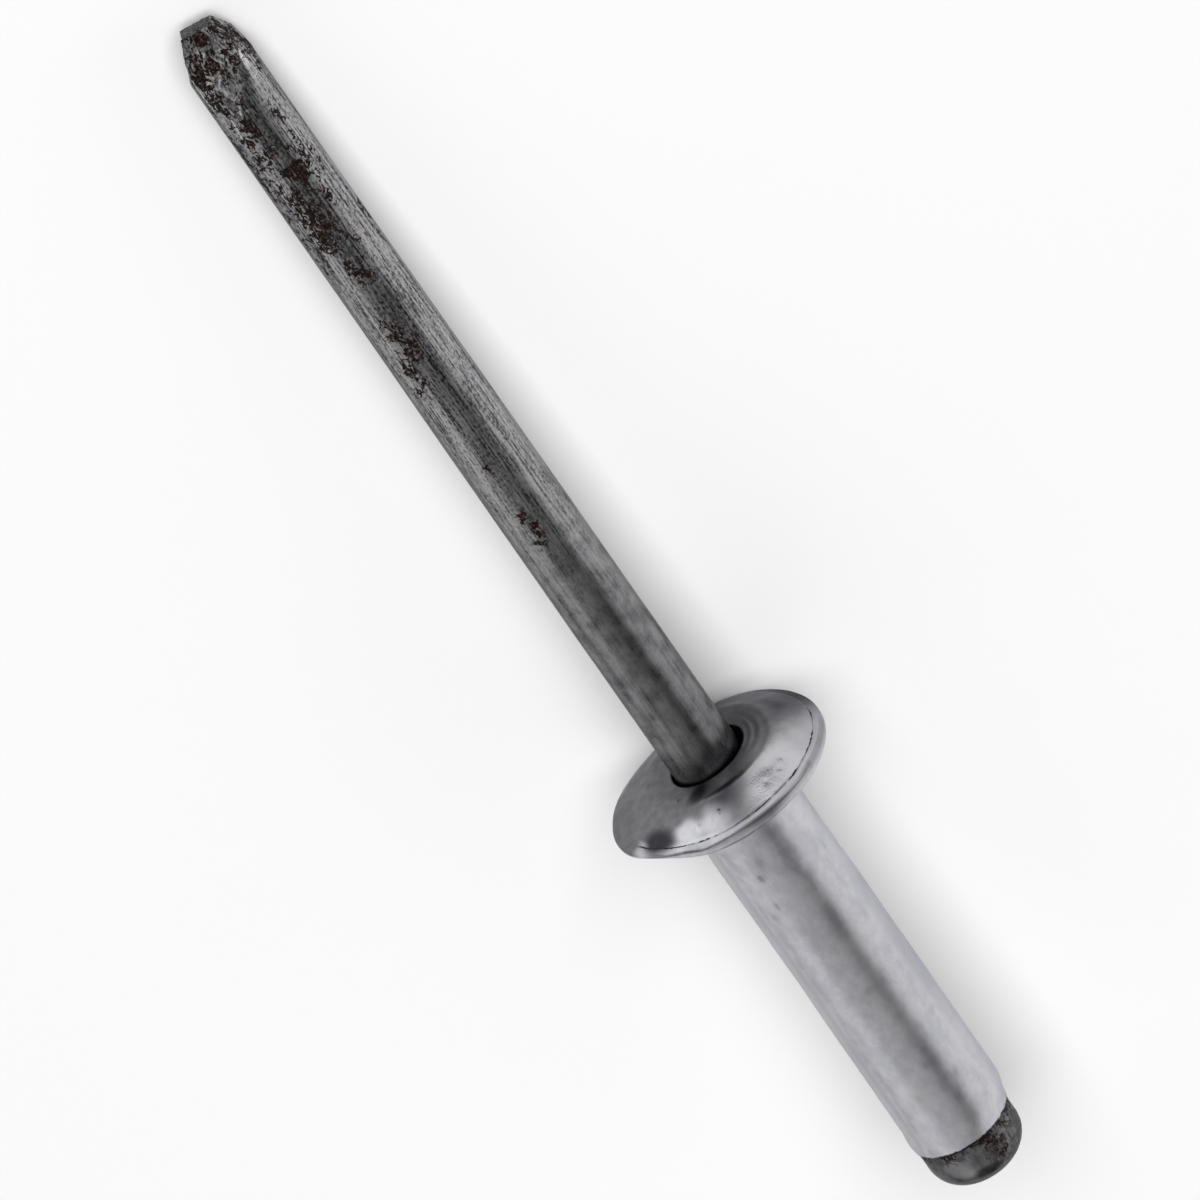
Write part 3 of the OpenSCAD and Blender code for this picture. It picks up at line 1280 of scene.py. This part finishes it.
@dataclass
class PulledMandrel(RivetPiece):
    """The steel wire: pinched tip, drawn shaft, breaking neck and head."""

    finish: DrawnSteel = DrawnSteel()
    segments: int = 216
    sharp_degrees: float = 42.0
    radius: float = 1.0
    reach: float = 28.4
    # the pinched tip: its end face and its broad and narrow facets
    tip_width: float = 1.03
    tip_thickness: float = 0.6
    facet_length: float = 2.0
    side_facet_length: float = 1.25
    # the breaking neck inside the sleeve, and the head
    neck_radius: float = 0.75
    neck_width: float = 0.6
    neck_depth: float = 1.4
    head_radius: float = 1.430
    head_side: float = 0.93
    head_round: float = 0.92
    # the free shaft is a little fuller at the flange than near the tip
    fullness: float = 0.016
    draw_taper: float = 0.04
    patches: tuple[Patch, ...] = (
        Patch(27.9, 2.0, 0.80, 0.62, 2.10),
        Patch(28.2, -20.0, 0.35, 0.40, 1.60),
        Patch(27.1, -32.0, 1.20, 0.34, 1.45),
        Patch(27.9, 62.0, 0.75, 0.40, 1.15),
        Patch(27.6, 95.0, 0.85, 0.45, 1.45),
        Patch(26.6, 66.0, 0.35, 0.20, 0.60),
        Patch(26.2, 4.0, 0.28, 0.20, 0.85),
        Patch(25.3, -13.0, 0.80, 0.30, 0.80),
        Patch(24.6, -34.0, 1.60, 0.24, 0.75),
        Patch(23.6, 8.0, 0.75, 0.58, 1.20),
        Patch(24.4, -4.0, 0.50, 0.35, 0.90),
        Patch(25.1, 42.0, 0.60, 0.13, 0.75),
        Patch(23.4, 57.0, 0.50, 0.11, 0.80),
        Patch(22.4, 38.0, 0.32, 0.20, 0.85),
        Patch(21.8, -15.0, 0.95, 0.50, 1.10),
        Patch(21.2, -3.0, 0.60, 0.40, 0.95),
        Patch(20.2, 6.0, 0.60, 0.36, 1.00),
        Patch(20.9, 14.0, 0.40, 0.30, 0.80),
        Patch(22.3, -54.0, 2.30, 0.14, 0.65),
        Patch(21.0, 82.0, 0.80, 0.17, 0.95),
        Patch(17.5, 0.0, 0.80, 0.34, 1.00),
        Patch(16.2, -24.0, 0.65, 0.24, 1.00),
        Patch(24.9, -58.0, 2.20, 0.14, 0.75),
        Patch(12.7, -8.0, 0.25, 0.15, 0.55),
        Patch(10.45, -6.0, 0.50, 0.17, 2.40),
        Patch(24.0, 170.0, 1.60, 0.60, 0.90),
        Patch(20.0, 215.0, 1.20, 0.50, 0.80),
        Patch(27.0, 190.0, 1.00, 0.80, 0.90),
        Patch(16.5, 140.0, 0.80, 0.30, 0.60),
    )
    # patches scoured clean of rust, painted brighter as highlights
    rubbed_and_painted_light: tuple[Patch, ...] = (
        Patch(27.05, -24.0, 0.42, 0.26, 1.0),
        Patch(27.85, -14.0, 0.26, 0.20, 0.9),
        Patch(27.55, 26.0, 0.30, 0.16, 0.7),
        Patch(27.30, 50.0, 0.80, 0.12, 0.7),
        Patch(26.40, 10.0, 0.35, 0.12, 0.6),
    )
    burrs: tuple[Burr, ...] = (
        Burr(28.05, -25.0, 0.60, 0.035, 4.0, 0.030),
        Burr(27.9, 40.0, 0.45, 0.035, -6.0, 0.026),
        Burr(27.3, 47.0, 0.40, 0.030, 10.0, 0.020),
        Burr(26.05, -4.0, 0.42, 0.040, 24.0, 0.026),
        Burr(26.5, 8.0, 0.30, 0.035, 60.0, 0.022),
        Burr(27.1, -8.0, 0.22, 0.10, 30.0, 0.018),
        Burr(26.75, -12.0, 0.26, 0.09, -20.0, 0.020),
        Burr(27.5, 12.0, 0.20, 0.05, -50.0, 0.016),
        Burr(25.4, -30.0, 0.50, 0.03, 5.0, 0.012),
        Burr(26.9, -52.0, 0.55, 0.035, -3.0, 0.016),
    )

    def profile(self) -> np.ndarray:
        """Draws the section from the tip's end face to the head's end.

        Returns:
            The points, as (radius, along), the unpinched wire's at the tip.
        """
        shape = Profile([(0.03, self.reach)])
        shape.line((self.radius, self.reach), 0.09)
        shape.line((self.radius, self.reach - self.facet_length - 0.5), 0.03)
        shape.line((self.radius, 0.8), 0.082)
        neck = -self.body_length + self.neck_depth
        half = self.neck_width / 2.0
        shape.line((self.radius, neck + half), 0.8)
        shape.line((self.neck_radius, neck), 0.1)
        shape.line((self.radius, neck - half), 0.1)
        shape.line((self.radius, -self.body_length), 0.3)
        shape.line((self.head_radius, -self.body_length), 0.08)
        shoulder = -self.body_length - self.head_side
        shape.line((self.head_radius, shoulder), 0.05)
        dome_centre = (self.head_radius - self.head_round, shoulder)
        shape.arc(dome_centre, self.head_round, (0.0, -90.0), 0.05)
        shape.line((0.02, shoulder - self.head_round), 0.06)
        return np.array(shape.points)

    def facet(self, thickness: float, length: float, back: np.ndarray) -> np.ndarray:
        """Works out how far a pair of facets lies from the axis.

        Args:
            thickness: Thickness between the facets at the end face.
            length: How far back from the end face they reach the round wire.
            back: How far back each point is.

        Returns:
            The facets' distance from the axis, at each point.
        """
        end = thickness / 2.0
        return end + (self.radius - end) * back / length

    def pinch(self, skin: Skin) -> None:
        """Presses the four facets into the wire's tip.

        Args:
            skin: The round skin.
        """
        points, cos_up, sin_up = skin.points(), np.cos(skin.phi), np.sin(skin.phi)
        back = self.reach - skin.along
        wander = 0.030 * lumps(points, 0.5, Seed.FACETS)
        wander += 0.014 * lumps(points, 0.16, Seed.FACET_GRAIN)
        broad = self.facet(self.tip_thickness, self.facet_length, back)
        narrow = self.facet(self.tip_width, self.side_facet_length, back)
        left = 1.0 - ease(sin_up, -0.1, 0.1)
        narrow = narrow - 0.05 - 0.04 * bell(back, 0.95, 0.4) * left
        to_broad = (broad + wander) / np.maximum(np.abs(cos_up), 1e-6)
        to_narrow = (narrow + wander) / np.maximum(np.abs(sin_up), 1e-6)
        limit = np.minimum(to_broad, to_narrow)
        rim = 0.6 + 0.4 * lumps(points, 0.25, Seed.PINCHED_RIM)
        rim = bell(limit - self.radius, 0.0, 0.06) * rim
        ridge = bell(to_broad - to_narrow, 0.0, 0.05) * ease(back, 1.2, 0.2)
        limit = limit + 0.022 * ridge
        soft = 0.02 + 0.07 * ease(back, 0.5, 1.3) * ease(cos_up, 0.2, 0.7)
        edge = -soft * np.logaddexp(-limit / soft, -self.radius / soft)
        edge = edge + 0.012 * rim
        for burr in self.burrs:
            edge = edge + 1.3 * burr.height * burr.share(skin, self.radius)
        on_end = back < 1e-6
        share = np.where(on_end, skin.radius / self.radius, 1.0)
        near_tip = back < self.facet_length + 0.45
        skin.radius = np.where(near_tip, edge * share, skin.radius)
        lift = 0.035 * lumps(points, 0.3, Seed.END_FACE)
        lift += 0.05 * ease(share, 0.7, 1.0) * ease(cos_up, -0.2, 0.8)
        skin.along = np.where(on_end, skin.along + lift - 0.02, skin.along)

    def on_head(self, still: Skin) -> np.ndarray:
        """Returns 1 on the head and 0 on the wire, with a soft change."""
        return ease(still.along, -self.body_length + 0.1, -self.body_length - 0.1)

    def rust_share(self, still: Skin) -> np.ndarray:
        """Says how rusty the wire is at each point.

        Args:
            still: The undeformed skin.

        Returns:
            0 where it is clean, 1 or more where it is eaten all over.
        """
        turn = self.turn(still)
        share = np.zeros_like(still.radius)
        for patch in self.patches:
            share = np.maximum(share, patch.share(still, self.radius))
        for burr in self.burrs:
            share = share * (1.0 - 0.9 * burr.share(still, self.radius))
        for patch in self.rubbed_and_painted_light:
            share = share * (1.0 - 0.62 * patch.share(still, self.radius))
        before_seat = still.along + self.body_length
        brown = 1.8 * bell(turn, 18.5, 12.6) * bell(before_seat, -0.75, 0.50)
        seam = 1.25 + 0.75 * lumps(still.points(), 0.9, Seed.HEAD_SEAM)
        seam = seam * bell(before_seat, -0.25, 0.28)
        upper = 0.45 * ease(turn, 11.5, 45.8)
        stain = np.maximum(np.maximum(brown, seam), upper)
        return np.clip(share + ease(before_seat, -0.02, -0.1) * stain, 0.0, 2.2)

    def darkening_and_painted_reflection_share(self, still: Skin) -> np.ndarray:
        """Says where the steel is dark: painted dark reflection on the end face and left
        side, and darker by the flange and on the head.

        Args:
            still: The undeformed skin.

        Returns:
            From 0, bright, to 1, dark.
        """
        turn = self.turn(still)
        # painted dark reflection on the left side
        left = 0.55 * ease(turn, -51.6, -77.3) * ease(turn, -149.0, -108.9)
        # painted dark reflection on the end face
        end = ease(still.along, self.reach - 0.02, self.reach)
        near_flange = 0.49 * ease(still.along, 12.0, 4.0)
        above = np.maximum(np.maximum(left, near_flange), end)
        return np.maximum(above * (still.along > 0.0), 0.56 * self.on_head(still))

    def calm_share(self, still: Skin) -> np.ndarray:
        """Says how even the steel is: more so by the flange and on the head.

        Args:
            still: The undeformed skin.

        Returns:
            From 0, lively, to 1, even.
        """
        near_flange = 0.72 * ease(still.along, 17.0, 6.0)
        return np.maximum(near_flange, 0.85 * self.on_head(still))

    def bare_and_painted_light_share(self, still: Skin) -> np.ndarray:
        """Says where the steel is bright: clean on burrs, scoured patches partly painted
        as highlights, a painted highlight on the end edge's front, and painted light by
        the hole against its shade.

        Args:
            still: The undeformed skin.

        Returns:
            From 0, as the rest, to 1, brightest.
        """
        points = still.points()
        # painted light by the hole's mouth, against its shade
        share = 0.34 * ease(still.along, 2.1, 1.1) * (still.along > 0.0)
        for burr in self.burrs:
            share = np.maximum(share, burr.share(still, self.radius))
        flaky = 0.85 + 0.5 * lumps(points, 0.13, Seed.FLAKES)
        for patch in self.rubbed_and_painted_light:
            share = np.maximum(share, flaky * patch.share(still, self.radius))
        # painted highlight along the front of the end edge
        front = ease(np.cos(np.radians(self.turn(still))), 0.3, 0.8)
        edge = bell(self.reach - still.along, 0.0, 0.05) * front
        edge = edge * ease(still.radius, 0.85, 0.97)
        # patchy strength of that painted highlight
        wear_and_painted_light = 0.7 + 0.5 * lumps(points, 0.2, Seed.END_EDGE)
        return np.maximum(share, 0.8 * edge * wear_and_painted_light)

    def build(self) -> bpy.types.Object:
        """Builds the piece and dresses it.

        Returns:
            The finished object.
        """
        still = Skin(self.profile(), self.segments, closed=False)
        skin = replace(still)
        points, rust = still.points(), self.rust_share(still)
        self.pinch(skin)
        height = 0.005 * lumps(points * [1.0, 1.0, 0.3], 0.5, Seed.SHAFT)
        height += 0.010 * rust * lumps(points, 0.12, Seed.RUST_PITS)
        outside = (still.along > 0.9) | (still.along < -self.body_length - 0.05)
        outside &= skin.along < self.reach - 0.001
        skin.radius = skin.radius + np.where(outside, height, 0.0)
        slim = self.fullness - self.draw_taper * ease(skin.along, 8.0, 26.0)
        skin.radius = skin.radius * np.where(skin.along > 0.9, 1.0 + slim, 1.0)
        head = ease(still.along, -self.body_length + 0.5, -self.body_length - 0.1)
        shift = self.sideways(self.head_lean * head)
        wire = skin.mesh("mandrel_wire", self.axes, shift, self.sharp_degrees)
        skin.attach(wire, "rust", rust)
        # painted dark reflection, and darker by the flange and on the head
        skin.attach(wire, "darkening_and_painted_reflection", self.darkening_and_painted_reflection_share(still))
        skin.attach(wire, "calm", self.calm_share(still))
        # clean steel and painted light
        skin.attach(wire, "bare_and_painted_light", self.bare_and_painted_light_share(still))
        wire.data.materials.append(self.finish.material(self.axes))
        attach(wire, "root")
        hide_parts("mandrel")
        return wire


# --------------------------------------------------------------------------
# Floor, lamps and camera
# --------------------------------------------------------------------------


class Reach(Enum):
    """What a lamp lights."""

    EVERYTHING = "everything"
    MATT_ONLY = "matt surfaces only"


@dataclass(frozen=True)
class SoftBox:
    """A flat soft lamp that faces the rivet."""

    name: str
    azimuth: float
    elevation: float
    distance: float
    width: float
    height: float
    radiance: float
    reach: Reach = Reach.EVERYTHING

    def place(self) -> bpy.types.Object:
        """Makes the lamp and turns it to the rivet.

        Returns:
            The lamp.
        """
        lamp = bpy.data.lights.new(self.name, "AREA")
        lamp.shape = "RECTANGLE"
        lamp.size, lamp.size_y = self.width, self.height
        lamp.energy = self.radiance * math.pi * self.width * self.height
        holder = bpy.data.objects.new(self.name, lamp)
        bpy.context.scene.collection.objects.link(holder)
        az, el = math.radians(self.azimuth), math.radians(self.elevation)
        away = Vector(
            (math.cos(el) * math.cos(az), math.cos(el) * math.sin(az), math.sin(el))
        )
        holder.location = away * self.distance
        holder.rotation_euler = away.to_track_quat("Z", "Y").to_euler()
        holder.visible_camera = False
        holder.visible_glossy = self.reach is Reach.EVERYTHING
        return holder


@dataclass
class Studio:
    """The floor, the soft lamps and the dim room round them."""

    floor_half: float = 1.6
    room_tone: float = 0.10
    boxes: tuple[SoftBox, ...] = (
        SoftBox("right_box", 57.0, 20.0, 0.42, 0.55, 0.26, 0.80),
        SoftBox("left_box", -61.0, 28.0, 0.42, 0.55, 0.31, 0.72),
        SoftBox("low_card", -158.0, 8.0, 0.40, 0.20, 0.12, 1.00),
        SoftBox("tip_card", -140.0, 74.0, 0.40, 0.15, 0.15, 1.00),
        SoftBox("sleeve_card", -9.5, 53.4, 0.056, 0.042, 0.033, 0.55),
        SoftBox("floor_lamp", 165.0, 58.0, 0.60, 0.50, 0.50, 5.3, Reach.MATT_ONLY),
    )

    def build(self) -> None:
        """Builds the floor, the lamps and the room."""
        low, half = CAD_BOX[0][2], self.floor_half
        corners = ((-half, -half), (half, -half), (half, half), (-half, half))
        mesh = bpy.data.meshes.new("floor")
        mesh.from_pydata([(*corner, low) for corner in corners], [], [(0, 1, 2, 3)])
        floor = bpy.data.objects.new("floor", mesh)
        bpy.context.scene.collection.objects.link(floor)
        mesh.materials.append(PlainFloor().material())
        for box in self.boxes:
            box.place()
        world = bpy.data.worlds.new("dim_room")
        world.use_nodes = True
        back = world.node_tree.nodes["Background"]
        back.inputs["Color"].default_value = (1.0, 1.0, 1.0, 1.0)
        back.inputs["Strength"].default_value = self.room_tone
        bpy.context.scene.world = world
        bpy.context.scene.view_settings.view_transform = "Standard"


@dataclass(frozen=True)
class CameraStation:
    """Where the camera stands, told from the rivet's own axes."""

    axes: RivetAxes
    lean: float = 29.2
    heading: float = -124.996
    offset: tuple[float, float] = (3.370, 4.985)
    distance: float = 1240.0
    lens: float = 1372.8
    sensor: float = 36.0

    def build(self) -> bpy.types.Object:
        """Makes the camera and gives it to the scene.

        The camera's own axes run right, down and away. In them the rivet's front
        faces the camera, its axis has the heading, and its tip leans towards the
        camera by lean.

        Returns:
            The camera.
        """
        lean, head = math.radians(self.lean), math.radians(self.heading)
        level = np.array([math.cos(head), math.sin(head), 0.0])
        toward = np.array([0.0, 0.0, -1.0])
        tip = level * math.cos(lean) + toward * math.sin(lean)
        front = toward - (toward @ tip) * tip
        front /= np.linalg.norm(front)
        seen = np.stack([tip, front, np.cross(tip, front)])
        turn = math.radians(self.axes.front)
        up, side = self.axes.up, self.axes.side
        front_world = math.cos(turn) * up + math.sin(turn) * side
        side_world = -math.sin(turn) * up + math.cos(turn) * side
        world = np.stack([self.axes.tip, front_world, side_world])
        right, down, away = seen.T @ world
        spot = -(self.offset[0] * right + self.offset[1] * down + self.distance * away)
        lens = bpy.data.cameras.new("station")
        lens.lens = self.lens
        lens.sensor_width = self.sensor
        lens.clip_start, lens.clip_end = 0.05, 10.0
        camera = bpy.data.objects.new("station", lens)
        bpy.context.scene.collection.objects.link(camera)
        matrix = Matrix.Identity(4)
        for column, vector in enumerate((right, -down, -away, spot * MM)):
            for row in range(3):
                matrix[row][column] = float(vector[row])
        camera.matrix_world = matrix
        bpy.context.scene.camera = camera
        return camera


def main() -> None:
    """Builds the rivet's two pieces, the studio and the camera."""
    logging.basicConfig(level=logging.INFO, format="%(name)s: %(message)s")
    axes = RivetAxes.from_record(frame["record"])
    for maker in (FlangedSleeve(axes), PulledMandrel(axes)):
        piece = maker.build()
        LOG.info("%s: %d faces", piece.name, len(piece.data.polygons))
    Studio().build()
    CameraStation(axes).build()


if __name__ == "__main__":
    main()
